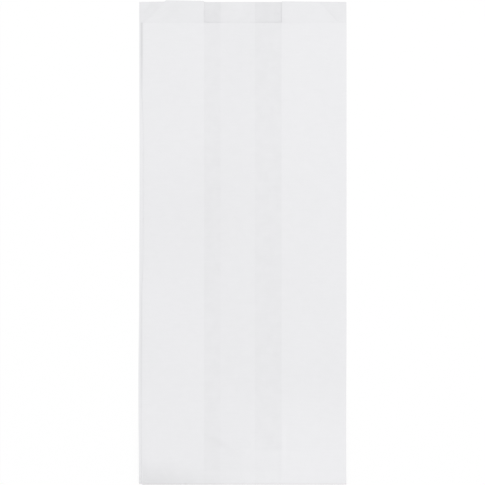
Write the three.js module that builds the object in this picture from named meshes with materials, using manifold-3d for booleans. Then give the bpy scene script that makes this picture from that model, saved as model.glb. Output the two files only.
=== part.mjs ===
// A flat-folded paper snack bag, as it comes off the stack. It is one sheet of thin white paper: folded
// into a tube with a gusset tucked in down each side, glued along a lap seam on its back panel, and closed
// at the bottom by turning the end of the tube under and gluing its longer lip to the back.
//
// Millimetres, +Z up. The bag lies on its back panel: X runs across it, +Y points out of its mouth, and
// the origin is under the middle of the bag, on the surface that it lies on.
import * as THREE from "three";
import { mergeVertices } from "three/addons/utils/BufferGeometryUtils.js";
import Module from "manifold-3d";

const wasm = await Module();
wasm.setup();

// The flat bag.
const BAG_WIDTH = 120; // between the outer side folds
const BAG_LENGTH = 279.5; // from the back panel's top edge to the bottom fold
const GUSSET_DEPTH = 37.5; // how far each side tucks in
const FRONT_INSET = 2; // the front panel's left fold lies this far inside the back panel's

// The lap seam down the back panel.
const SEAM_OVERLAP = 20;
const SEAM_OFFSET = -3; // of the seam's middle from the bag's
const SEAM_CLIMB = 3; // width over which the inner edge climbs onto the outer one

// The step cut, which shapes the mouth and, one bag's length further on, the end of the bottom flap.
const LIP = 12; // the back panel stands this far above the front one at the mouth
const SHOULDER_LEFT = 1; // level stretch of the gusset's cut beside the front panel
const SHOULDER_RIGHT = 5;
const SLOPE_LEFT = 12.5; // run of the slanting cut from the front panel's level up to the lip's
const SLOPE_RIGHT = 10.5;
const TAB_LEFT = 1; // the gussets stand a little proud of the back panel's edge, here at the top of the slant
const TAB_RIGHT = 0.1;
const TAB_LEFT_INNER = 0.6; // and here at their inner folds
const TAB_RIGHT_INNER = 0.3;

// The bottom flap, turned under and glued to the back panel.
const FLAP = 20;
const FLAP_PRESS = 4.5; // length over which the flap's lip comes up against the back panel
const FLAP_EASE = 50; // length over which the tube comes down off its flap to the table
const LIP_SETTLE = 6; // width over which the lip settles between the gussets onto the back panel

// The paper and how loosely its layers lie.
const PAPER = 0.06;
const PITCH = 0.24; // from one layer's middle to the next
const FOLD_RADIUS = 0.1; // inside the turned-under bottom

// The lines of glue, which fill the gap between two layers.
const GLUE_FILM = 0.02;
const SEAM_GLUE_WIDTH = 8;
const SEAM_GLUE_MARGIN = 6; // clear paper above and below it
const FLAP_GLUE_WIDTH = 3;
const FLAP_GLUE_MARGIN = 0.8; // clear paper between it and the lip's edge

// Facets.
const FOLD_STEPS = 4; // round a side fold
const BOTTOM_STEPS = 8; // round the bottom fold
const SLANT_STEPS = 8; // along a slanting cut
const CLIMB_STEPS = 3;
const PRESS_STEPS = 4;
const EASE_STEPS = 10;
const PLAIN_STEPS = 4; // between the mouth and where the tube starts to rise
const WHITE = 0xececee;

const FRONT_LEVEL = 3 * PITCH; // back, gusset, gusset, front
const STACK = FRONT_LEVEL + PAPER; // height of the folded tube
const UNDERSIDE = 2 * FOLD_RADIUS + STACK; // height of the tube where it lies on its flap
const TOP_Y = (BAG_LENGTH - TAB_LEFT) / 2; // the back panel's top edge
const BOTTOM_LINE = BAG_LENGTH - FOLD_RADIUS - STACK; // where the bottom fold starts, down from TOP_Y
const LIP_REACH = FLAP - FOLD_RADIUS - STACK; // from the start of the bottom fold to the flap's edge
const INNER_REACH = FLAP - LIP + Math.PI * STACK; // past the ends of the flap's inner layers

// Where the folds and cuts lie across the bag.
const RIGHT = BAG_WIDTH / 2;
const LEFT = -RIGHT;
const FRONT_LEFT = LEFT + FRONT_INSET;
const INNER_FOLD = RIGHT - GUSSET_DEPTH;
const SEAM_LEFT = SEAM_OFFSET - SEAM_OVERLAP / 2;
const SEAM_RIGHT = SEAM_OFFSET + SEAM_OVERLAP / 2;
const SHOULDER_X = { left: FRONT_LEFT + SHOULDER_LEFT, right: RIGHT - SHOULDER_RIGHT };
const SLANT_X = { left: SHOULDER_X.left + SLOPE_LEFT, right: SHOULDER_X.right - SLOPE_RIGHT };
const SETTLED_X = { left: SLANT_X.left + LIP_SETTLE, right: SLANT_X.right - LIP_SETTLE };

const clamp = (t) => Math.min(1, Math.max(0, t));
const smooth = (t) => clamp(t) ** 2 * (3 - 2 * clamp(t));

// The sheet's middle line through one cross-section, walked from one edge of the sheet to the other.
// Each point keeps its outward normal, and how far below TOP_Y the mouth is cut there.
class SheetLine {
  constructor(x, level) {
    this.x = x;
    this.level = level;
    this.heading = Math.PI; // the walk starts towards -X, along the back panel
    this.points = [];
  }

  mark(cut) {
    const normal = this.heading + Math.PI / 2;
    this.points.push({
      x: this.x,
      level: this.level,
      out: new THREE.Vector2(Math.cos(normal), Math.sin(normal)),
      cut,
    });
    return this;
  }

  straight(x, cut, steps = 1) {
    const from = this.points.at(-1);
    for (let i = 1; i <= steps; i++) {
      this.x = from.x + ((x - from.x) * i) / steps;
      this.mark(from.cut + ((cut - from.cut) * i) / steps);
    }
    return this;
  }

  // A half turn: turn is 1 to the left of the walk, -1 to the right.
  fold(turn, cut) {
    const radius = PITCH / 2;
    const middle = this.level + turn * radius * Math.cos(this.heading);
    const centre = this.x;
    const start = this.heading;
    for (let i = 1; i <= FOLD_STEPS; i++) {
      this.heading = start + (turn * Math.PI * i) / FOLD_STEPS;
      this.x = centre + turn * radius * Math.sin(this.heading);
      this.level = middle - turn * radius * Math.cos(this.heading);
      this.mark(cut);
    }
    return this;
  }

  // A gentle change of level.
  climb(x, rise, cut) {
    const from = { x: this.x, level: this.level };
    for (let i = 1; i <= CLIMB_STEPS; i++) {
      const t = i / CLIMB_STEPS;
      this.x = from.x + t * (x - from.x);
      this.level = from.level + rise * smooth(t);
      this.mark(cut);
    }
    return this;
  }
}

function sheetLine() {
  const turn = (PITCH + PAPER) / 2; // from a fold's outer face to where it starts
  return (
    new SheetLine(SEAM_RIGHT, PAPER / 2)
      // the back panel from the seam's outer edge, and the left gusset
      .mark(0)
      .straight(LEFT + turn, 0)
      .fold(-1, 0)
      .straight(-INNER_FOLD - turn, -TAB_LEFT_INNER)
      .fold(1, -TAB_LEFT_INNER)
      .straight(SLANT_X.left, -TAB_LEFT)
      .straight(SHOULDER_X.left, LIP, SLANT_STEPS)
      .straight(FRONT_LEFT + turn, LIP)
      .fold(-1, LIP)
      // the front panel
      .straight(SLANT_X.left, LIP)
      .straight(SETTLED_X.left, LIP)
      .straight(SETTLED_X.right, LIP)
      .straight(SLANT_X.right, LIP)
      .straight(RIGHT - turn, LIP)
      .fold(-1, LIP)
      // the right gusset, and the back panel to the seam's inner edge
      .straight(SHOULDER_X.right, LIP)
      .straight(SLANT_X.right, -TAB_RIGHT, SLANT_STEPS)
      .straight(INNER_FOLD + turn, -TAB_RIGHT_INNER)
      .fold(1, -TAB_RIGHT_INNER)
      .straight(RIGHT - turn, 0)
      .fold(-1, 0)
      .straight(SEAM_RIGHT + SEAM_CLIMB, 0)
      .climb(SEAM_RIGHT, PAPER + GLUE_FILM, 0)
      .straight(SEAM_LEFT, 0).points
  );
}

// How high the tube's underside lies, at a distance up from its bottom line.
function lift(up) {
  return UNDERSIDE * (1 - smooth((up - INNER_REACH) / FLAP_EASE));
}

// A place on the tube: down from TOP_Y, and a height above the tube's underside.
function onTube(down, level) {
  return {
    y: TOP_Y - down,
    z: lift(BOTTOM_LINE - down) + level,
    out: new THREE.Vector2(0, 1),
  };
}

// The same, round the bottom fold.
function onBottomFold(angle, level) {
  const radius = FOLD_RADIUS + level;
  return {
    y: TOP_Y - BOTTOM_LINE - radius * Math.sin(angle),
    z: UNDERSIDE - FOLD_RADIUS + radius * Math.cos(angle),
    out: new THREE.Vector2(-Math.sin(angle), Math.cos(angle)),
  };
}

// The same, on the flap, which lies as it is folded until its inner layers end. Then its lip comes up
// against the back panel, with nothing between them but the gussets' shoulders at the sides.
function onFlap(up, level, x) {
  const pressed = smooth((up - INNER_REACH) / FLAP_PRESS);
  const overLeft = clamp((SETTLED_X.left - x) / LIP_SETTLE);
  const overRight = clamp((x - SETTLED_X.right) / LIP_SETTLE);
  const nested = 2 * FOLD_RADIUS + level;
  const against = GLUE_FILM + level - (3 - overLeft - overRight) * PITCH;
  return {
    y: TOP_Y - BOTTOM_LINE + up,
    z: lift(up) - (1 - pressed) * nested - pressed * against,
    out: new THREE.Vector2(0, -1),
  };
}

// How far the sheet runs on past the bottom fold at one point of its line.
function flapLength(point) {
  const frontLevel = FRONT_LEVEL + PAPER / 2;
  return LIP_REACH + Math.PI * (frontLevel - point.level) - (LIP - point.cut);
}

// How far down the tube its rows lie, below the mouth.
function tubeStops() {
  const riseEnd = BOTTOM_LINE - INNER_REACH;
  const riseStart = riseEnd - FLAP_EASE;
  const spans = [
    [LIP + PITCH, riseStart, PLAIN_STEPS],
    [riseStart, riseEnd, EASE_STEPS],
  ];
  const stops = spans.flatMap(([from, to, steps]) =>
    Array.from({ length: steps }, (_, i) => from + ((to - from) * i) / steps),
  );
  return [...stops, riseEnd];
}

// Rows of the sheet, from the mouth to the flap's end. Each gives the place of a point of the line. The
// rows on the flap run together where the sheet ends short of them.
function sheetRows() {
  const rows = [(point) => onTube(point.cut, point.level)];
  for (const down of tubeStops()) rows.push((point) => onTube(down, point.level));
  for (let i = 0; i <= BOTTOM_STEPS; i++) {
    const angle = (i * Math.PI) / BOTTOM_STEPS;
    rows.push((point) => onBottomFold(angle, point.level));
  }
  for (let i = 0; i <= PRESS_STEPS; i++) {
    const up = INNER_REACH + (FLAP_PRESS * i) / PRESS_STEPS;
    rows.push((point) => onFlap(Math.min(up, flapLength(point)), point.level, point.x));
  }
  rows.push((point) => onFlap(flapLength(point), point.level, point.x));
  return rows;
}

// The folded sheet as one closed mesh: its outer face, its inner face, and the cut edge round them.
function foldedSheet() {
  const line = sheetLine();
  const rows = sheetRows();
  const positions = [];
  for (const side of [1, -1])
    for (const point of line)
      for (const row of rows) {
        const place = row(point);
        const offset = (side * PAPER) / 2;
        positions.push(
          point.x + offset * point.out.x,
          place.y + offset * point.out.y * place.out.x,
          place.z + offset * point.out.y * place.out.y,
        );
      }
  const faces = [];
  const quad = (a, b, c, d) => faces.push(a, b, c, a, c, d);
  const last = { i: line.length - 1, j: rows.length - 1 };
  const outer = (i, j) => i * rows.length + j;
  const inner = (i, j) => outer(i, j) + line.length * rows.length;
  for (let i = 0; i < last.i; i++)
    for (let j = 0; j < last.j; j++) {
      quad(outer(i, j), outer(i, j + 1), outer(i + 1, j + 1), outer(i + 1, j));
      quad(inner(i, j), inner(i + 1, j), inner(i + 1, j + 1), inner(i, j + 1));
    }
  for (let i = 0; i < last.i; i++) {
    quad(outer(i, 0), outer(i + 1, 0), inner(i + 1, 0), inner(i, 0));
    const j = last.j;
    quad(outer(i + 1, j), outer(i, j), inner(i, j), inner(i + 1, j));
  }
  for (let j = 0; j < last.j; j++) {
    quad(outer(0, j + 1), outer(0, j), inner(0, j), inner(0, j + 1));
    const i = last.i;
    quad(outer(i, j), outer(i, j + 1), inner(i, j + 1), inner(i, j));
  }
  return new THREE.BufferGeometry()
    .setAttribute("position", new THREE.Float32BufferAttribute(positions, 3))
    .setIndex(faces);
}

// A line of glue from left to right. Its stops give y, and the heights of the middles of the two layers
// that it joins, so that it reaches into the paper of both.
function glueLine(left, right, stops) {
  const outline = new THREE.Shape([
    ...stops.map((stop) => new THREE.Vector2(stop.y, stop.low)),
    ...stops.toReversed().map((stop) => new THREE.Vector2(stop.y, stop.high)),
  ]);
  const [x, y, z] = [0, 1, 2].map((i) => new THREE.Vector3().setComponent(i, 1));
  return new THREE.ExtrudeGeometry(outline, { depth: right - left, bevelEnabled: false })
    .applyMatrix4(new THREE.Matrix4().makeBasis(y, z, x))
    .translate(left, 0, 0);
}

function seamGlue() {
  const stop = (down) => {
    const { y, z } = onTube(down, PAPER / 2);
    return { y, low: z, high: z + PAPER + GLUE_FILM };
  };
  const [, ...downs] = tubeStops();
  const left = SEAM_OFFSET - SEAM_GLUE_WIDTH / 2;
  return glueLine(left, left + SEAM_GLUE_WIDTH, [SEAM_GLUE_MARGIN, ...downs].map(stop));
}

function flapGlue() {
  const end = LIP_REACH - FLAP_GLUE_MARGIN;
  const stop = (up) => {
    const { y, z } = onFlap(up, FRONT_LEVEL + PAPER / 2, 0);
    return { y, low: z, high: lift(up) + PAPER / 2 };
  };
  return glueLine(SETTLED_X.left, SETTLED_X.right, [end - FLAP_GLUE_WIDTH, end].map(stop));
}

// A three.js geometry as a manifold-3d solid, without the triangles that have run together.
function toSolid(geometry) {
  const bare = geometry.clone();
  bare.deleteAttribute("normal");
  bare.deleteAttribute("uv");
  const merged = mergeVertices(bare);
  const triangles = [];
  for (let i = 0; i < merged.index.count; i += 3) {
    const corners = [0, 1, 2].map((k) => merged.index.getX(i + k));
    if (new Set(corners).size === 3) triangles.push(...corners);
  }
  return new wasm.Manifold(
    new wasm.Mesh({
      numProp: 3,
      vertProperties: merged.attributes.position.array,
      triVerts: new Uint32Array(triangles),
    }),
  );
}

// The same, back again.
function toGeometry(solid) {
  const mesh = solid.getMesh();
  const geometry = new THREE.BufferGeometry()
    .setAttribute("position", new THREE.BufferAttribute(mesh.vertProperties, 3))
    .setIndex(new THREE.BufferAttribute(mesh.triVerts, 1));
  geometry.computeVertexNormals();
  return geometry;
}

function paperBag() {
  const solid = toSolid(foldedSheet()).add(toSolid(seamGlue())).add(toSolid(flapGlue()));
  const paper = new THREE.MeshStandardMaterial({
    color: WHITE,
    roughness: 0.7,
    metalness: 0,
    side: THREE.DoubleSide,
  });
  const mesh = new THREE.Mesh(toGeometry(solid), paper);
  mesh.name = "paper_bag";
  return mesh;
}

const bag = new THREE.Group();
bag.add(paperBag());

export default bag;
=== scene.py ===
"""Dresses a flat-folded paper snack bag for a studio picture.

The bag is one sheet of thin machine-glazed kraft paper. Its sheet is grown here stretch by stretch and
fold by fold round the tube, turned under at the bottom, trimmed along the step cut, laid on the table and
given its thickness. Lengths are in metres, X runs across the bag and +Y points out of its mouth.
"""

import math

import bmesh
import bpy
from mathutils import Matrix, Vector, noise


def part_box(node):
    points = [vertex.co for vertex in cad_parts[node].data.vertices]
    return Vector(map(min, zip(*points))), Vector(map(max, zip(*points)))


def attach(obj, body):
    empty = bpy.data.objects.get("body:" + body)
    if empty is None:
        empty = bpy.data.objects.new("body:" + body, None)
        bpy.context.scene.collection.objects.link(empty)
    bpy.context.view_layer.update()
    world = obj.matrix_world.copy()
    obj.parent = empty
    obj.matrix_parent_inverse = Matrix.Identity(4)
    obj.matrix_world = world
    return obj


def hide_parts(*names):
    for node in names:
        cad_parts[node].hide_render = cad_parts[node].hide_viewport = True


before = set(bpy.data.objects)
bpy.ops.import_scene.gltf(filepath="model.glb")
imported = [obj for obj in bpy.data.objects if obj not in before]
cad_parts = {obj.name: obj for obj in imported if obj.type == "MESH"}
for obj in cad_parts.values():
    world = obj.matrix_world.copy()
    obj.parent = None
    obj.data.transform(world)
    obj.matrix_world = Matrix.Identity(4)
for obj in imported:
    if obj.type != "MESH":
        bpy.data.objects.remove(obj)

bl_info = {
    "name": "Paper Snack Bag",
    "version": (1, 0, 0),
    "blender": (4, 5, 0),
    "location": "3D View > Sidebar > Paper Bag",
    "description": "Folds a flat white paper snack bag and lights it for a picture",
    "category": "Add Mesh",
}

MM = 0.001
BOX_LOW, BOX_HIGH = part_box("paper_bag")


def linear(hex_colour):
    """An sRGB colour such as #ECECEE as three linear values."""
    values = [int(hex_colour[i : i + 2], 16) / 255 for i in (1, 3, 5)]
    return tuple(v / 12.92 if v <= 0.04045 else ((v + 0.055) / 1.055) ** 2.4 for v in values)


def length(name, description, millimetres):
    """A property that holds a length."""
    return bpy.props.FloatProperty(
        name=name,
        description=description,
        default=millimetres * MM,
        precision=5,
        unit="LENGTH",
    )


def amount(name, description, default):
    """A property that holds a plain number."""
    return bpy.props.FloatProperty(name=name, description=description, default=default)


def colour(name, description, hex_colour):
    """A property that holds a colour."""
    return bpy.props.FloatVectorProperty(
        name=name,
        description=description,
        default=linear(hex_colour),
        subtype="COLOR",
        min=0,
        max=1,
        size=3,
    )


class FoldSizes(bpy.types.PropertyGroup):
    """Where the sheet is folded, cut and lapped."""

    gusset_depth: length("Gusset depth", "How far each side tucks in", 37.5)
    front_inset: length("Front inset", "Front panel's left fold inside the back panel's", 2)
    seam_overlap: length("Seam overlap", "Width of the lap seam", 20)
    seam_offset: length("Seam offset", "Seam's middle from the bag's middle", -3)
    seam_climb: length("Seam climb", "Width over which the lap's inner edge climbs", 3)
    lip: length("Lip", "Back panel's stand above the front panel at the mouth", 12)
    shoulder_left: length("Left shoulder", "Level cut beside the front panel", 1)
    shoulder_right: length("Right shoulder", "Level cut beside the front panel", 5)
    slope_left: length("Left slope", "Run of the left gusset's slanting cut", 12.5)
    slope_right: length("Right slope", "Run of the right gusset's slanting cut", 10.5)
    tab_left: length("Left tab", "Left gusset above the lip at the slant's top", 1)
    tab_right: length("Right tab", "Right gusset above the lip at the slant's top", 0.1)
    tab_left_inner: length("Left inner tab", "The same at the left inner fold", 0.6)
    tab_right_inner: length("Right inner tab", "The same at the right inner fold", 0.3)
    flap: length("Flap", "Length of the bottom that is turned under", 20)
    flap_press: length("Flap press", "Length over which the flap's lip meets the back", 4.5)
    flap_ease: length("Flap ease", "Length over which the tube comes down to the table", 50)
    lip_settle: length("Lip settle", "Width over which the lip settles between the gussets", 6)


class PaperSizes(bpy.types.PropertyGroup):
    """The paper, and how loosely its layers lie."""

    thickness: length("Paper", "Thickness of the sheet", 0.06)
    pitch: length("Pitch", "From one layer's middle to the next", 0.24)
    fold_radius: length("Bottom radius", "Inside radius of the turned-under bottom", 0.1)
    glue_film: length("Glue film", "Gap that the glue fills", 0.02)
    puff: length("Puff", "How far the front panel stands off the layers under it", 0.1)
    cockle: length("Cockle", "Height of the soft waves that thin paper dries into", 0.14)
    cockle_span: length("Cockle span", "Distance from one soft wave to the next", 55)
    sag: length("Sag", "How far the front panel sinks between the gussets", 0.41)
    stray: length("Stray", "How far the side folds wander off a straight line", 0.5)
    press: bpy.props.FloatProperty(
        name="Press",
        description="What is left of the layers' spacing where the bag lies pressed flat",
        default=0.45,
        subtype="FACTOR",
        min=0.4,
        max=1,
    )
    cell: length("Cell", "Spacing of the sheet's mesh", 3)


class PaperColours(bpy.types.PropertyGroup):
    """How pale the paper is painted with one to six sheets over each other: painted show-through, darkest
    with one sheet.
    """

    one_sheet: colour("One sheet", "A single layer", "#E6E6E8")
    two_sheets: colour("Two sheets", "Two layers", "#EAEAEC")
    three_sheets: colour("Three sheets", "Three layers", "#ECECEE")
    four_sheets: colour("Four sheets", "Four layers", "#EDEDEF")
    six_sheets: colour("Six sheets", "Six layers and more", "#EEEEF0")
    roughness: amount("Roughness", "Of the machine-glazed face", 0.58)


class StudioSettings(bpy.types.PropertyGroup):
    """The picture's frame and light."""

    frame_width: length("Frame width", "What the picture spans across, at the bag", 280.35)
    aim_x: length("Aim across", "Picture's middle from the bag's middle", -0.2)
    aim_y: length("Aim along", "Picture's middle from the bag's middle", -0.07)
    lens: bpy.props.FloatProperty(
        name="Lens", description="Focal length in millimetres", default=100, unit="CAMERA"
    )
    sky: amount("Sky", "Strength of the even light from all round", 0.817)
    lamp: amount("Lamp", "Power of the soft lamp on the right, in watts", 5.2)
    fill: amount("Fill", "Power of the soft lamp on the left, in watts", 2.2)
    white: amount("White", "Strength of the floor's plain white", 1.02)
    shadow: bpy.props.FloatProperty(
        name="Shadow",
        description="How much of the floor's shadow the picture keeps",
        default=0.15,
        subtype="FACTOR",
        min=0,
        max=1,
    )


def clamp(t):
    """Keeps a number from 0 to 1."""
    return min(1.0, max(0.0, t))


def smooth(t):
    """Eases from 0 to 1."""
    s = clamp(t)
    return s * s * (3 - 2 * s)


class Layout:
    """Places worked out from the fold and paper sizes."""

    def __init__(self, fold, paper):
        self.fold = fold
        self.paper = paper
        self.right = BOX_HIGH.x
        self.left = BOX_LOW.x
        self.front_left = self.left + fold.front_inset
        self.inner = self.right - fold.gusset_depth
        self.seam_left = fold.seam_offset - fold.seam_overlap / 2
        self.seam_right = fold.seam_offset + fold.seam_overlap / 2
        self.shoulder = (self.front_left + fold.shoulder_left, self.right - fold.shoulder_right)
        self.slant = (self.shoulder[0] + fold.slope_left, self.shoulder[1] - fold.slope_right)
        self.settled = (self.slant[0] + fold.lip_settle, self.slant[1] - fold.lip_settle)
        self.top = BOX_HIGH.y - fold.tab_left
        self.front_level = 3 * paper.pitch
        self.stack = self.front_level + paper.thickness
        self.bottom_line = BOX_LOW.y + paper.fold_radius + self.stack
        self.underside = 2 * paper.fold_radius + self.stack
        self.lip_reach = fold.flap - paper.fold_radius - self.stack
        self.inner_reach = fold.flap - fold.lip + math.pi * self.stack

    def lift(self, up):
        """Height of the tube's underside, at a distance up from its bottom line."""
        return self.underside * (1 - smooth((up - self.inner_reach) / self.fold.flap_ease))

    def flap_end(self, level, cut):
        """Where the flap ends in Y, on a layer whose mouth is cut this far below the top."""
        turn = math.pi * (self.front_level + self.paper.thickness / 2 - level)
        return self.bottom_line + self.lip_reach + turn - (self.fold.lip - cut)

    def cut_line(self):
        """The step cut's stretches: its layer, counted up from 0, then from x and cut to x and cut."""
        fold, pitch = self.fold, self.paper.pitch
        back, under, over, front = range(4)
        outside = self.right + pitch
        return [
            (back, (-outside, 0), (outside, 0)),
            (under, (-outside, 0), (-self.inner + pitch, -fold.tab_left_inner)),
            (under, (self.inner - pitch, -fold.tab_right_inner), (outside, 0)),
            (over, (self.slant[0], -fold.tab_left), (-self.inner + pitch, -fold.tab_left_inner)),
            (over, (self.shoulder[0], fold.lip), (self.slant[0], -fold.tab_left)),
            (over, (-outside, fold.lip), (self.shoulder[0], fold.lip)),
            (over, (self.inner - pitch, -fold.tab_right_inner), (self.slant[1], -fold.tab_right)),
            (over, (self.slant[1], -fold.tab_right), (self.shoulder[1], fold.lip)),
            (over, (self.shoulder[1], fold.lip), (outside, fold.lip)),
            (front, (-outside, fold.lip), (outside, fold.lip)),
        ]


def edit_selection(piece, kind, test):
    """Selects the piece's vertices or faces that pass a test of their place, and nothing else."""
    bpy.ops.mesh.select_all(action="DESELECT")
    mesh = bmesh.from_edit_mesh(piece.data)
    if kind == "faces":
        for face in mesh.faces:
            if test(face.calc_center_median()):
                face.select_set(True)
    else:
        for vertex in mesh.verts:
            if test(vertex.co):
                vertex.select_set(True)
        mesh.select_flush(True)
    bmesh.update_edit_mesh(piece.data)


class SheetWalk:
    """Grows the sheet from its selected edge, as its cross-section is walked."""

    FOLD_STEPS = 4
    CLIMB_STEPS = 3

    def __init__(self, x, level, layout):
        self.x = x
        self.level = level
        self.heading = -1
        self.radius = layout.paper.pitch / 2
        self.cell = layout.paper.cell

    def grow(self, across, rise):
        """One more row of faces."""
        bpy.ops.mesh.extrude_region_move(TRANSFORM_OT_translate={"value": (across, 0, rise)})
        self.x += across
        self.level += rise

    def straight(self, x):
        """A level stretch up to x, in cells of even width."""
        steps = max(1, round(abs(x - self.x) / self.cell))
        step = (x - self.x) / steps
        for _ in range(steps):
            self.grow(step, 0)
        return self

    def fold(self, rise):
        """A half turn: rise is 1 where the sheet goes on a layer higher, and -1 a layer lower."""
        bpy.ops.mesh.spin(
            steps=self.FOLD_STEPS,
            angle=math.pi * self.heading * rise,
            center=(self.x, 0, self.level + rise * self.radius),
            axis=(0, 1, 0),
        )
        self.level += 2 * rise * self.radius
        self.heading = -self.heading
        return self

    def climb(self, x, rise):
        """A gentle change of level."""
        start, run = self.level, x - self.x
        for i in range(1, self.CLIMB_STEPS + 1):
            to = start + rise * smooth(i / self.CLIMB_STEPS)
            self.grow(run / self.CLIMB_STEPS, to - self.level)
        return self


def start_sheet(layout):
    """The first stretch, from the seam's outer edge to the left side fold, as long as the tube."""
    turn = (layout.paper.pitch + layout.paper.thickness) / 2
    tube = BOX_HIGH.y - layout.bottom_line
    left = layout.left + turn
    bpy.ops.object.select_all(action="DESELECT")
    bpy.ops.mesh.primitive_grid_add(
        x_subdivisions=round((layout.seam_right - left) / layout.paper.cell),
        y_subdivisions=round(tube / layout.paper.cell),
        size=tube,
        location=(
            (left + layout.seam_right) / 2,
            (BOX_HIGH.y + layout.bottom_line) / 2,
            layout.paper.thickness / 2,
        ),
    )
    piece = bpy.context.object
    piece.name = piece.data.name = "bag_sheet"
    piece.scale.x = (layout.seam_right - left) / tube
    bpy.ops.object.transform_apply(location=True, rotation=True, scale=True)
    return piece


def fold_tube(piece, layout):
    """Carries the sheet on round the tube: left gusset, front panel, right gusset, and back."""
    paper = layout.paper
    turn = (paper.pitch + paper.thickness) / 2
    start = layout.left + turn
    edit_selection(piece, "verts", lambda place: place.x < start + paper.thickness)
    walk = SheetWalk(start, paper.thickness / 2, layout)
    walk.fold(1).straight(-layout.inner - turn).fold(1)
    walk.straight(layout.slant[0]).straight(layout.shoulder[0]).straight(layout.front_left + turn)
    walk.fold(1)
    for x in (layout.slant[0], *layout.settled, layout.slant[1], layout.right - turn):
        walk.straight(x)
    walk.fold(-1)
    walk.straight(layout.shoulder[1]).straight(layout.slant[1]).straight(layout.inner + turn)
    walk.fold(-1).straight(layout.right - turn).fold(-1)
    walk.straight(layout.seam_right + layout.fold.seam_climb)
    walk.climb(layout.seam_right, paper.thickness + paper.glue_film).straight(layout.seam_left)


def turn_bottom_under(piece, layout):
    """Turns the tube's end under by half a turn and lets it run on as the flap."""
    paper = layout.paper
    line = layout.bottom_line
    edit_selection(piece, "verts", lambda place: place.y < line + paper.thickness)
    bpy.ops.mesh.spin(
        steps=8, angle=-math.pi, center=(0, line, -paper.fold_radius), axis=(1, 0, 0)
    )
    flap_steps = round((layout.fold.flap + layout.stack) / (paper.cell / 2))
    for _ in range(flap_steps):
        bpy.ops.mesh.extrude_region_move(
            TRANSFORM_OT_translate={"value": (0, paper.cell / 2, 0)}
        )


def trim_layer(piece, on_layer, start, end):
    """Cuts one layer's faces along the line from start to end, and drops what lies beyond it."""
    along = Vector((end[0] - start[0], end[1] - start[1], 0)).normalized()
    beyond = Vector((-along.y, along.x, 0))
    origin = Vector((*start, 0))

    def near(place):
        return start[0] < place.x < end[0] and on_layer(place)

    edit_selection(piece, "faces", near)
    bpy.ops.mesh.bisect(plane_co=origin, plane_no=beyond, threshold=1e-7)
    edit_selection(
        piece, "faces", lambda place: near(place) and (place - origin).dot(beyond) > 0
    )
    bpy.ops.mesh.delete(type="FACE")


def trim_steps(piece, layout):
    """Makes the step cut at the mouth, and the same cut again at the flap's end."""
    paper = layout.paper
    nested = 2 * paper.fold_radius
    for layer, (x_1, cut_1), (x_2, cut_2) in layout.cut_line():
        low, high = (layer - 0.5) * paper.pitch, (layer + 0.5) * paper.pitch
        trim_layer(
            piece,
            lambda place: low < place.z <= high,
            (x_1, layout.top - cut_1),
            (x_2, layout.top - cut_2),
        )
        level = layer * paper.pitch + paper.thickness / 2
        trim_layer(
            piece,
            lambda place: low < -place.z - nested <= high and place.y > layout.bottom_line,
            (x_1, layout.flap_end(level, cut_1)),
            (x_2, layout.flap_end(level, cut_2)),
        )


def settle(piece, layout):
    """Lays the folded sheet on the table: the tube on its flap, the flap's lip against the back. The
    vertices are moved one by one, because no operator knows how far each layer sinks onto the next."""
    fold, paper = layout.fold, layout.paper
    for vertex in piece.data.vertices:
        x, y, z = vertex.co
        up = y - layout.bottom_line
        vertex.co.x += side_stray(x, y, layout) + front_stray(x, y, z, layout)
        if up > 0 and z < 0:
            level = -z - 2 * paper.fold_radius
            pressed = smooth((up - layout.inner_reach) / fold.flap_press)
            over = clamp((layout.settled[0] - x) / fold.lip_settle)
            over += clamp((x - layout.settled[1]) / fold.lip_settle)
            against = paper.glue_film + level - (3 - over) * paper.pitch
            z = -(1 - pressed) * (level + 2 * paper.fold_radius) - pressed * against
        elif up > 0:
            z += puff(x, y, layout) * (z / layout.front_level)
            if z > layout.front_level - paper.pitch / 2:
                z -= sag(x, up, layout)
            z = press(z, up, layout)
        vertex.co.z = z + layout.lift(max(up, 0))


def press(level, up, layout):
    """Closes the layers up above the seam, more so away from the turned-under bottom."""
    seam = 1.5 * layout.paper.thickness + layout.paper.glue_film
    if level < seam:
        return level
    closing = smooth(up / (30 * MM))
    kept = 1 - (1 - layout.paper.press) * closing
    return seam + (level - seam) * kept


def sag(x, up, layout):
    """How far the front panel sinks onto the back panel at a place, where no gusset holds it up."""
    between = smooth((layout.inner - abs(x)) / (8 * MM))
    off_the_bottom = smooth(up / (15 * MM))
    return layout.paper.sag * between * off_the_bottom


def bump(y, middle, reach):
    """A soft hill along the bag's length, 1 at its middle. Middle and reach are in millimetres."""
    return smooth(1 - abs(y / MM - middle) / reach)


def near_fold(inside):
    """1 beside a side fold, and 0 from 10 mm inside it."""
    return smooth((10 * MM - inside) / (8 * MM))


def side_stray(x, y, layout):
    """How far a side fold lies off its straight line: the machine's folds wander a little."""
    if x < 0:
        course = 0.4 * bump(y, 45, 75) - 0.95 * bump(y, -83, 60)
    else:
        course = -0.55 * bump(y, -115, 70)
    return near_fold(layout.right - abs(x)) * layout.paper.stray * course


def front_stray(x, y, z, layout):
    """The same for the front panel's left fold, beyond what the side fold under it wanders. The back
    panel and the gusset's lower half only follow the side fold, in the tube and in the flap alike."""
    paper = layout.paper
    if abs(z + paper.fold_radius) < 1.5 * paper.pitch + paper.fold_radius:
        return 0
    # It lies out at the mouth, in from there to the middle, and furthest out in the lower half.
    course = 1.4 * smooth((90 * MM - y) / (25 * MM)) - 1.6 * smooth((-5 * MM - y) / (30 * MM)) - 0.8
    return near_fold(x - layout.left) * paper.stray * (course - 0.3 * bump(y, 45, 75))


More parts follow.
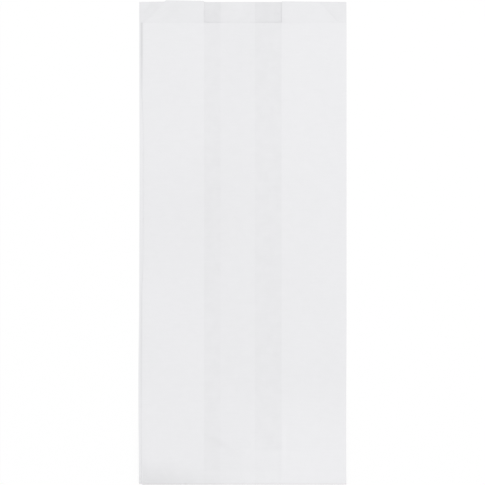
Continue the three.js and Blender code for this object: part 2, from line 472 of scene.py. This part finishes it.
def puff(x, y, layout):
    """How far the front panel stands up at a place, from the air and the soft waves under it."""
    paper = layout.paper
    margin = 30 * MM
    edges = smooth((layout.right - abs(x)) / margin)
    edges *= smooth((y - layout.bottom_line) / margin)
    waves = noise.noise(Vector((x, y * 0.8, 0)) / paper.cockle_span)
    waves += 0.4 * noise.noise(Vector((x, y, 7)) / paper.cockle_span * 2.3)
    return edges * max(0.0, paper.puff + paper.cockle * waves)


def add_node(tree, kind, links=None, **settings):
    """Adds a node to a tree, with its settings, socket values and links."""
    node = tree.nodes.new(kind)
    for name, value in settings.items():
        setattr(node, name, value)
    for socket, value in (links or {}).items():
        if isinstance(value, bpy.types.NodeSocket):
            tree.links.new(value, node.inputs[socket])
        else:
            node.inputs[socket].default_value = value
    return node


def new_material(name):
    """An empty node material and its tree."""
    material = bpy.data.materials.new(name)
    material.use_nodes = True
    material.node_tree.nodes.clear()
    return material, material.node_tree


def within(tree, place, share, edges):
    """Keeps a share inside all of the edges, and drops it outside. Each edge is a direction on the bag,
    how far out it lies that way, and the width over which it fades."""
    for across, along, out, fade in edges:
        away = add_node(
            tree, "ShaderNodeVectorMath", {0: place, 1: (across, along, 0)}, operation="DOT_PRODUCT"
        )
        inside = add_node(
            tree,
            "ShaderNodeMapRange",
            {
                "Value": away.outputs["Value"],
                "From Min": out - fade / 2,
                "From Max": out + fade / 2,
                "To Min": 1.0,
                "To Max": 0.0,
            },
            interpolation_type="SMOOTHSTEP",
        )
        share = add_node(
            tree, "ShaderNodeMath", {0: inside.outputs["Result"], 1: share}, operation="MULTIPLY"
        ).outputs[0]
    return share


def slanting_edge(start, end, fade):
    """The edge of what lies on the right of a line, seen from its start to its end."""
    along = (Vector(end) - Vector(start)).normalized()
    across, up = -along.y, along.x
    return across, up, across * start[0] + up * start[1], fade


def sheet_count(tree, place, layout):
    """How many sheets lie over each other at a place, as seen through them."""
    # The blur of an edge in millimetres: bare, under a sheet that lies on it, and away from the top sheet.
    crisp, covered, loose = 0.25, 0.7, 2.5
    inner = layout.inner / MM
    top = layout.top / MM
    mouth = top - layout.fold.lip / MM
    flap_end = (layout.bottom_line + layout.lip_reach) / MM
    inner_end = flap_end - layout.fold.lip / MM
    left_cut = slanting_edge(
        (layout.shoulder[0] / MM, mouth),
        (layout.slant[0] / MM, top + layout.fold.tab_left / MM),
        loose,
    )
    right_cut = slanting_edge(
        (layout.slant[1] / MM, top + layout.fold.tab_right / MM),
        (layout.shoulder[1] / MM, mouth),
        crisp,
    )
    left, right = (1, 0, -inner, covered), (-1, 0, -inner, covered)
    below, above = (0, 1, mouth, crisp), (0, -1, -mouth, crisp)
    seam = [
        (1, 0, layout.seam_right / MM, covered),
        (-1, 0, -layout.seam_left / MM, 2 * covered),
    ]
    sheets = [
        # The lap seam's second sheet, and the gussets' lower halves.
        (1, seam),
        (1, [left]),
        (1, [right]),
        # The gussets' upper halves, first under the front panel and then up to their slanting cuts.
        (1, [left, below]),
        (1, [right, below]),
        (1, [left, left_cut, above]),
        (1, [right, right_cut, above]),
        # The front panel.
        (1, [below]),
        # The flap's lip, which shows mostly on the right, then its inner sheets and its part of the seam.
        (0.2, [(0, 1, flap_end, loose)]),
        (0.8, [(0, 1, flap_end, loose), (-1, 0, -1, 18)]),
        (1, [(0, 1, inner_end, loose)]),
        (1, [(0, 1, inner_end, loose), *seam]),
    ]
    count = 1.0
    for number, edges in sheets:
        more = within(tree, place, number, edges)
        count = add_node(tree, "ShaderNodeMath", {0: count, 1: more}, operation="ADD").outputs[0]
    return count


def speckle(tree, place, light, size, detail, seed, strength):
    """Adds cloudy spots about as many millimetres across, each way, as size says."""
    spread = add_node(
        tree,
        "ShaderNodeMapping",
        {"Vector": place, "Location": (seed, seed, 0), "Scale": [1 / s for s in size]},
    )
    spots = add_node(
        tree, "ShaderNodeTexNoise", {"Vector": spread.outputs[0], "Scale": 1.0, "Detail": detail}
    )
    about_zero = add_node(
        tree, "ShaderNodeMath", {0: spots.outputs["Fac"], 1: 0.5}, operation="SUBTRACT"
    )
    return add_node(
        tree,
        "ShaderNodeMath",
        {0: about_zero.outputs[0], 1: strength, 2: light},
        operation="MULTIPLY_ADD",
    ).outputs[0]


def mark(tree, place, light, middle, reach, turn, strength):
    """Adds a soft oval: its middle, half its length and width, its turn in degrees and its strength."""
    oval = add_node(
        tree,
        "ShaderNodeMapping",
        {
            "Vector": place,
            "Location": (*middle, 0),
            "Rotation": (0, 0, math.radians(turn)),
            "Scale": (*reach, 1e6),
        },
        vector_type="TEXTURE",
    )
    away = add_node(
        tree, "ShaderNodeVectorMath", {0: oval.outputs[0]}, operation="LENGTH"
    )
    shade = add_node(
        tree,
        "ShaderNodeMapRange",
        {"Value": away.outputs["Value"], "To Min": strength, "To Max": 0.0},
        interpolation_type="SMOOTHSTEP",
    )
    return add_node(
        tree, "ShaderNodeMath", {0: light, 1: shade.outputs["Result"]}, operation="ADD"
    ).outputs[0]


def ragged(tree, place):
    """Places shifted about by a few millimetres, so that a mark on them gets an uneven outline."""
    noise_texture = add_node(
        tree, "ShaderNodeTexNoise", {"Vector": place, "Scale": 0.14, "Detail": 3.0}
    )
    shift = add_node(
        tree,
        "ShaderNodeVectorMath",
        {0: noise_texture.outputs["Color"], 1: (0.5, 0.5, 0.5)},
        operation="SUBTRACT",
    )
    return add_node(
        tree,
        "ShaderNodeVectorMath",
        {0: shift.outputs[0], 1: (12, 9, 0), 2: place},
        operation="MULTIPLY_ADD",
    ).outputs[0]


def painted_shade_and_marks(tree, place, light, layout):
    """Adds painted shade and painted highlights along the folds, cuts and edges, painted light and shade
    over wider patches, and a few plain paler and darker patches, to the paper's light and dark. Each has its
    middle and its reach each way in millimetres, its turn in degrees, and its strength, which is below 0 for
    a dark one."""
    low = BOX_LOW.y / MM
    mouth = (layout.top - layout.fold.lip) / MM
    whole_width = 1000
    along_folds = [
        # Painted shade in the bottom's crease and in a small pinch in it, and a painted highlight on the
        # rounded edge below it.
        ((0, low + 1.15), (whole_width, 0.6), 0, -0.035),
        ((-33.2, low + 0.7), (1.6, 1.1), 0, -0.06),
        ((0, low - 0.2), (whole_width, 1.1), 0, 0.06),
        # Painted shadow in the gap beside the front panel's left fold: deep at the mouth, shut above the
        # middle and deep again below it. At the corner the strip is painted pale, with a dark tip of painted
        # shade.
        ((-58.6, 120), (1.25, 51), 0, within(tree, place, -0.14, [(0, 1, mouth, 0.25)])),
        ((-58.75, -55), (1.1, 75), 0, -0.05),
        ((-58.75, low + 2), (1.3, 16), 0, 0.085),
        ((-59.3, low + 3.9), (1.6, 2.0), 0, -0.04),
        # The open lip's left half, which is a little greyer.
        ((-38, 134), (34, 14), 0, within(tree, place, -0.013, [(0, -1, -mouth, 0.25)])),
        # A darker slanting patch at the end of the flap.
        ((-14.5, -115.5), (13, 3.2), -29, -0.023),
        # Painted highlight right of the right gusset's inner fold above the bottom, where it raises the
        # front panel, and painted shade left of it.
        ((24.2, -117), (1.8, 20), 0, 0.018),
        ((21.3, -129), (1.7, 15), 0, -0.013),
        # Painted light over the lap seam in the open lip, lightening the shade at the front panel's edge.
        ((-3, 133), (12, 7.5), 0, 0.012),
    ]
    uneven = [
        # Painted shade over the bottom's left corner, where the layers sink, painted light over its right
        # half, a faint darker patch by the seam and a wide band of painted light above the flap's end.
        ((-60, low - 1), (62, 18.5), 0, -0.1),
        ((38, low + 15), (60, 50), 0, 0.021),
        ((-3, low + 7), (14, 10), 0, -0.008),
        ((0, -105), (70, 24), 0, 0.007),
        # Painted shade over the middle of the left gusset, and painted light over the right one, higher up.
        ((-45, 12), (62, 52), 0, -0.016),
        ((40, 75), (45, 75), 0, 0.009),
        # Painted shadow beside the left gusset's slanting cut, where its edge stands up, and painted light
        # on the corner beyond it.
        ((-54, 135.5), (11, 3.2), 47, -0.018),
        ((-58, 138), (6, 5), 0, 0.01),
        ((-41, 133.5), (9, 3.5), 47, -0.016),
        # A pale slanting streak over the seam's lower end.
        ((4, -120), (10, 2.6), 60, 0.012),
    ]
    for middle, reach, turn, strength in along_folds:
        light = mark(tree, place, light, middle, reach, turn, strength)
    shifted = ragged(tree, place)
    for middle, reach, turn, strength in uneven:
        light = mark(tree, shifted, light, middle, reach, turn, strength)
    return light


def painted_show_through(tree, count, colours):
    """Painted show-through: the paper's colour by how many sheets back it, darker where fewer do."""
    stops = {
        1: colours.one_sheet,
        2: colours.two_sheets,
        3: colours.three_sheets,
        4: colours.four_sheets,
        6: colours.six_sheets,
    }
    most = max(stops)
    share = add_node(tree, "ShaderNodeMath", {0: count, 1: most}, operation="DIVIDE")
    ramp = add_node(tree, "ShaderNodeValToRGB", {0: share.outputs[0]})
    elements = ramp.color_ramp.elements
    while len(elements) < len(stops):
        elements.new(0.5)
    for element, (sheets, shade) in zip(elements, stops.items()):
        element.position = sheets / most
        element.color = (*shade, 1)
    return ramp.outputs["Color"]


def paper_material(layout, colours):
    """White machine-glazed kraft: thin bleached wood pulp, dried against a hot polished cylinder. It is
    matt to silky and a little cloudy where its fibres bunch, most of all in a single sheet. The cylinder
    leaves fine streaks across it, and each sheet more underneath is painted paler, as painted show-through."""
    material, tree = new_material("machine_glazed_kraft")
    from_origin = add_node(tree, "ShaderNodeTexCoord").outputs["Object"]
    place = add_node(
        tree, "ShaderNodeVectorMath", {0: from_origin, "Scale": 1 / MM}, operation="SCALE"
    ).outputs[0]
    count = sheet_count(tree, place, layout)
    see_through = add_node(
        tree,
        "ShaderNodeMapRange",
        {"Value": count, "From Min": 1.0, "From Max": 3.2, "To Min": 0.08, "To Max": 0.012},
    )
    light = 1.0
    bunch_size, bunch_seed = (5, 4, 5), 11.0
    patterns = [
        # Wide clouds of heavier and lighter pulp.
        ((30, 45, 30), 2.0, 3.0, 0.024),
        # Bunches of fibres.
        (bunch_size, 3.0, bunch_seed, 0.022),
        # The cylinder's streaks.
        ((10, 1.2, 10), 2.0, 29.0, 0.02),
        # Wider bunches, which show most where a single sheet has nothing behind it.
        ((6, 7, 6), 1.5, 17.0, see_through.outputs["Result"]),
    ]
    for size, detail, seed, strength in patterns:
        light = speckle(tree, place, light, size, detail, seed, strength)
    # Painted shade and painted highlights along the folds and edges, and wider painted light and shade.
    light = painted_shade_and_marks(tree, place, light, layout)
    # The painted show-through tone, darkened and lightened by the painted shade and light.
    tone_with_painted_shade = add_node(
        tree,
        "ShaderNodeVectorMath",
        {0: painted_show_through(tree, count, colours), "Scale": light},
        operation="SCALE",
    )
    # Fibres are about 0.03 mm thick, and are drawn about twenty times as coarse to show.
    fibres = speckle(tree, place, 0.0, (0.9, 0.5, 0.9), 3.0, 41.0, 1.0)
    fibres = speckle(tree, place, fibres, (6, 2, 6), 2.0, 5.0, 1.0)
    relief = add_node(
        tree, "ShaderNodeBump", {"Strength": 0.35, "Distance": 0.02 * MM, "Height": fibres}
    )
    # The bunches are a little glossier or duller than the paper round them.
    gloss = speckle(tree, place, colours.roughness, bunch_size, 3.0, bunch_seed, 0.07)
    surface = add_node(
        tree,
        "ShaderNodeBsdfPrincipled",
        {
            "Base Color": tone_with_painted_shade.outputs[0],
            "Roughness": gloss,
            "IOR": 1.5,
            "Normal": relief.outputs["Normal"],
        },
    )
    add_node(tree, "ShaderNodeOutputMaterial", {"Surface": surface.outputs["BSDF"]})
    return material


def must_be_closed(piece):
    """Stops the run where the finished piece has a hole or a loose edge."""
    mesh = bmesh.new()
    mesh.from_mesh(piece.data)
    open_edges = sum(not edge.is_manifold for edge in mesh.edges)
    mesh.free()
    if open_edges:
        raise RuntimeError(f"{piece.name} has {open_edges} open edges")


class PAPERBAG_OT_sheet(bpy.types.Operator):
    """Fold the bag from its sheet of paper"""

    bl_idname = "paperbag.sheet"
    bl_label = "Fold the Bag"

    def execute(self, context):
        layout = Layout(context.scene.bag_folds, context.scene.bag_paper)
        piece = start_sheet(layout)
        bpy.ops.object.mode_set(mode="EDIT")
        bpy.ops.mesh.select_mode(type="EDGE")
        fold_tube(piece, layout)
        turn_bottom_under(piece, layout)
        bpy.ops.mesh.select_mode(type="FACE")
        trim_steps(piece, layout)
        bpy.ops.mesh.select_all(action="SELECT")
        bpy.ops.mesh.remove_doubles(threshold=0.001 * MM)
        bpy.ops.mesh.normals_make_consistent(inside=False)
        bpy.ops.object.mode_set(mode="OBJECT")
        settle(piece, layout)
        wall = piece.modifiers.new("wall", "SOLIDIFY")
        wall.thickness = layout.paper.thickness
        wall.offset = 0
        wall.use_even_offset = True
        bpy.ops.object.modifier_apply(modifier=wall.name)
        bpy.ops.object.shade_smooth_by_angle(angle=math.radians(60))
        must_be_closed(piece)
        piece.data.materials.append(paper_material(layout, context.scene.bag_colours))
        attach(piece, "root")
        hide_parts("paper_bag")
        return {"FINISHED"}


def shown_white(tree):
    """1 for what the camera sees, straight or in a gloss or a glass, and 0 for the light's own rays."""
    path = add_node(tree, "ShaderNodeLightPath")
    seen = path.outputs["Is Camera Ray"]
    for name in ("Is Glossy Ray", "Is Transmission Ray"):
        seen = add_node(
            tree, "ShaderNodeMath", {0: seen, 1: path.outputs[name]}, operation="MAXIMUM"
        ).outputs[0]
    return seen


def floor_material(studio):
    """A white sweep of matt board, shown as plain white with some of its shadow."""
    material, tree = new_material("matt_white_board")
    board = add_node(tree, "ShaderNodeBsdfDiffuse", {"Color": (*linear("#F4F4F4"), 1)})
    white = add_node(tree, "ShaderNodeEmission", {"Color": (1, 1, 1, 1), "Strength": studio.white})
    share = add_node(
        tree, "ShaderNodeMath", {0: shown_white(tree), 1: 1 - studio.shadow}, operation="MULTIPLY"
    )
    mixed = add_node(
        tree,
        "ShaderNodeMixShader",
        {0: share.outputs[0], 1: board.outputs[0], 2: white.outputs[0]},
    )
    add_node(tree, "ShaderNodeOutputMaterial", {"Surface": mixed.outputs[0]})
    return material


def make_floor(studio):
    """The table, just under the bag."""
    bpy.ops.object.select_all(action="DESELECT")
    bpy.ops.mesh.primitive_plane_add(size=6, location=(0, 0, BOX_LOW.z - 0.02 * MM))
    floor = bpy.context.object
    floor.name = "floor"
    bpy.ops.object.transform_apply(location=True, rotation=True, scale=True)
    floor.data.materials.append(floor_material(studio))


def make_sky(studio):
    """Even white light from all round, which the camera sees as plain white."""
    world = bpy.data.worlds.new("studio")
    bpy.context.scene.world = world
    world.use_nodes = True
    tree = world.node_tree
    tree.nodes.clear()
    strength = add_node(
        tree,
        "ShaderNodeMapRange",
        {"Value": shown_white(tree), "To Min": studio.sky, "To Max": 1.0},
    )
    sky = add_node(
        tree,
        "ShaderNodeBackground",
        {"Color": (1, 1, 1, 1), "Strength": strength.outputs["Result"]},
    )
    add_node(tree, "ShaderNodeOutputWorld", {"Surface": sky.outputs[0]})


def make_lamp(name, place, power):
    """A large soft lamp that points at the bag."""
    bpy.ops.object.light_add(type="AREA", location=place)
    lamp = bpy.context.object
    lamp.name = name
    lamp.rotation_euler = Vector(place).to_track_quat("Z", "Y").to_euler()
    lamp.data.shape = "DISK"
    lamp.data.size = 0.9
    lamp.data.energy = power


def make_camera(studio):
    """Looks straight down on the front panel, with the mouth at the picture's top."""
    sensor = 36
    height = studio.frame_width * studio.lens / sensor
    bpy.ops.object.camera_add(location=(studio.aim_x, studio.aim_y, BOX_HIGH.z + height))
    camera = bpy.context.object
    camera.rotation_euler = (0, 0, 0)
    camera.data.sensor_width = sensor
    camera.data.lens = studio.lens
    bpy.context.scene.camera = camera


class PAPERBAG_OT_stage(bpy.types.Operator):
    """Set up the floor, the light and the camera"""

    bl_idname = "paperbag.stage"
    bl_label = "Set Up the Studio"

    def execute(self, context):
        studio = context.scene.bag_studio
        make_floor(studio)
        make_sky(studio)
        make_lamp("soft_lamp", (1.0, 0.6, 1.4), studio.lamp)
        make_lamp("fill_lamp", (-1.2, 0.3, 1.2), studio.fill)
        make_camera(studio)
        context.scene.view_settings.view_transform = "Standard"
        return {"FINISHED"}


class PAPERBAG_PT_panel(bpy.types.Panel):
    """Lists the bag's sizes, colours and steps"""

    bl_idname = "PAPERBAG_PT_panel"
    bl_label = "Paper Bag"
    bl_space_type = "VIEW_3D"
    bl_region_type = "UI"
    bl_category = "Paper Bag"

    def draw(self, context):
        for name in GROUPS:
            box = self.layout.box()
            group = getattr(context.scene, name)
            for setting in group.bl_rna.properties:
                if setting.identifier not in ("rna_type", "name"):
                    box.prop(group, setting.identifier)
        for step in STEPS:
            self.layout.operator(step.bl_idname)


GROUPS = {
    "bag_folds": FoldSizes,
    "bag_paper": PaperSizes,
    "bag_colours": PaperColours,
    "bag_studio": StudioSettings,
}
STEPS = (PAPERBAG_OT_sheet, PAPERBAG_OT_stage)


def register():
    for made in (*GROUPS.values(), *STEPS, PAPERBAG_PT_panel):
        bpy.utils.register_class(made)
    for name, group in GROUPS.items():
        setattr(bpy.types.Scene, name, bpy.props.PointerProperty(type=group))


def unregister():
    for name in GROUPS:
        delattr(bpy.types.Scene, name)
    for made in (PAPERBAG_PT_panel, *reversed(STEPS), *reversed(GROUPS.values())):
        bpy.utils.unregister_class(made)


def main():
    """Folds the bag and sets up the studio."""
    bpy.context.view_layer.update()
    register()
    bpy.ops.paperbag.sheet()
    bpy.ops.paperbag.stage()


if __name__ == "__main__":
    main()
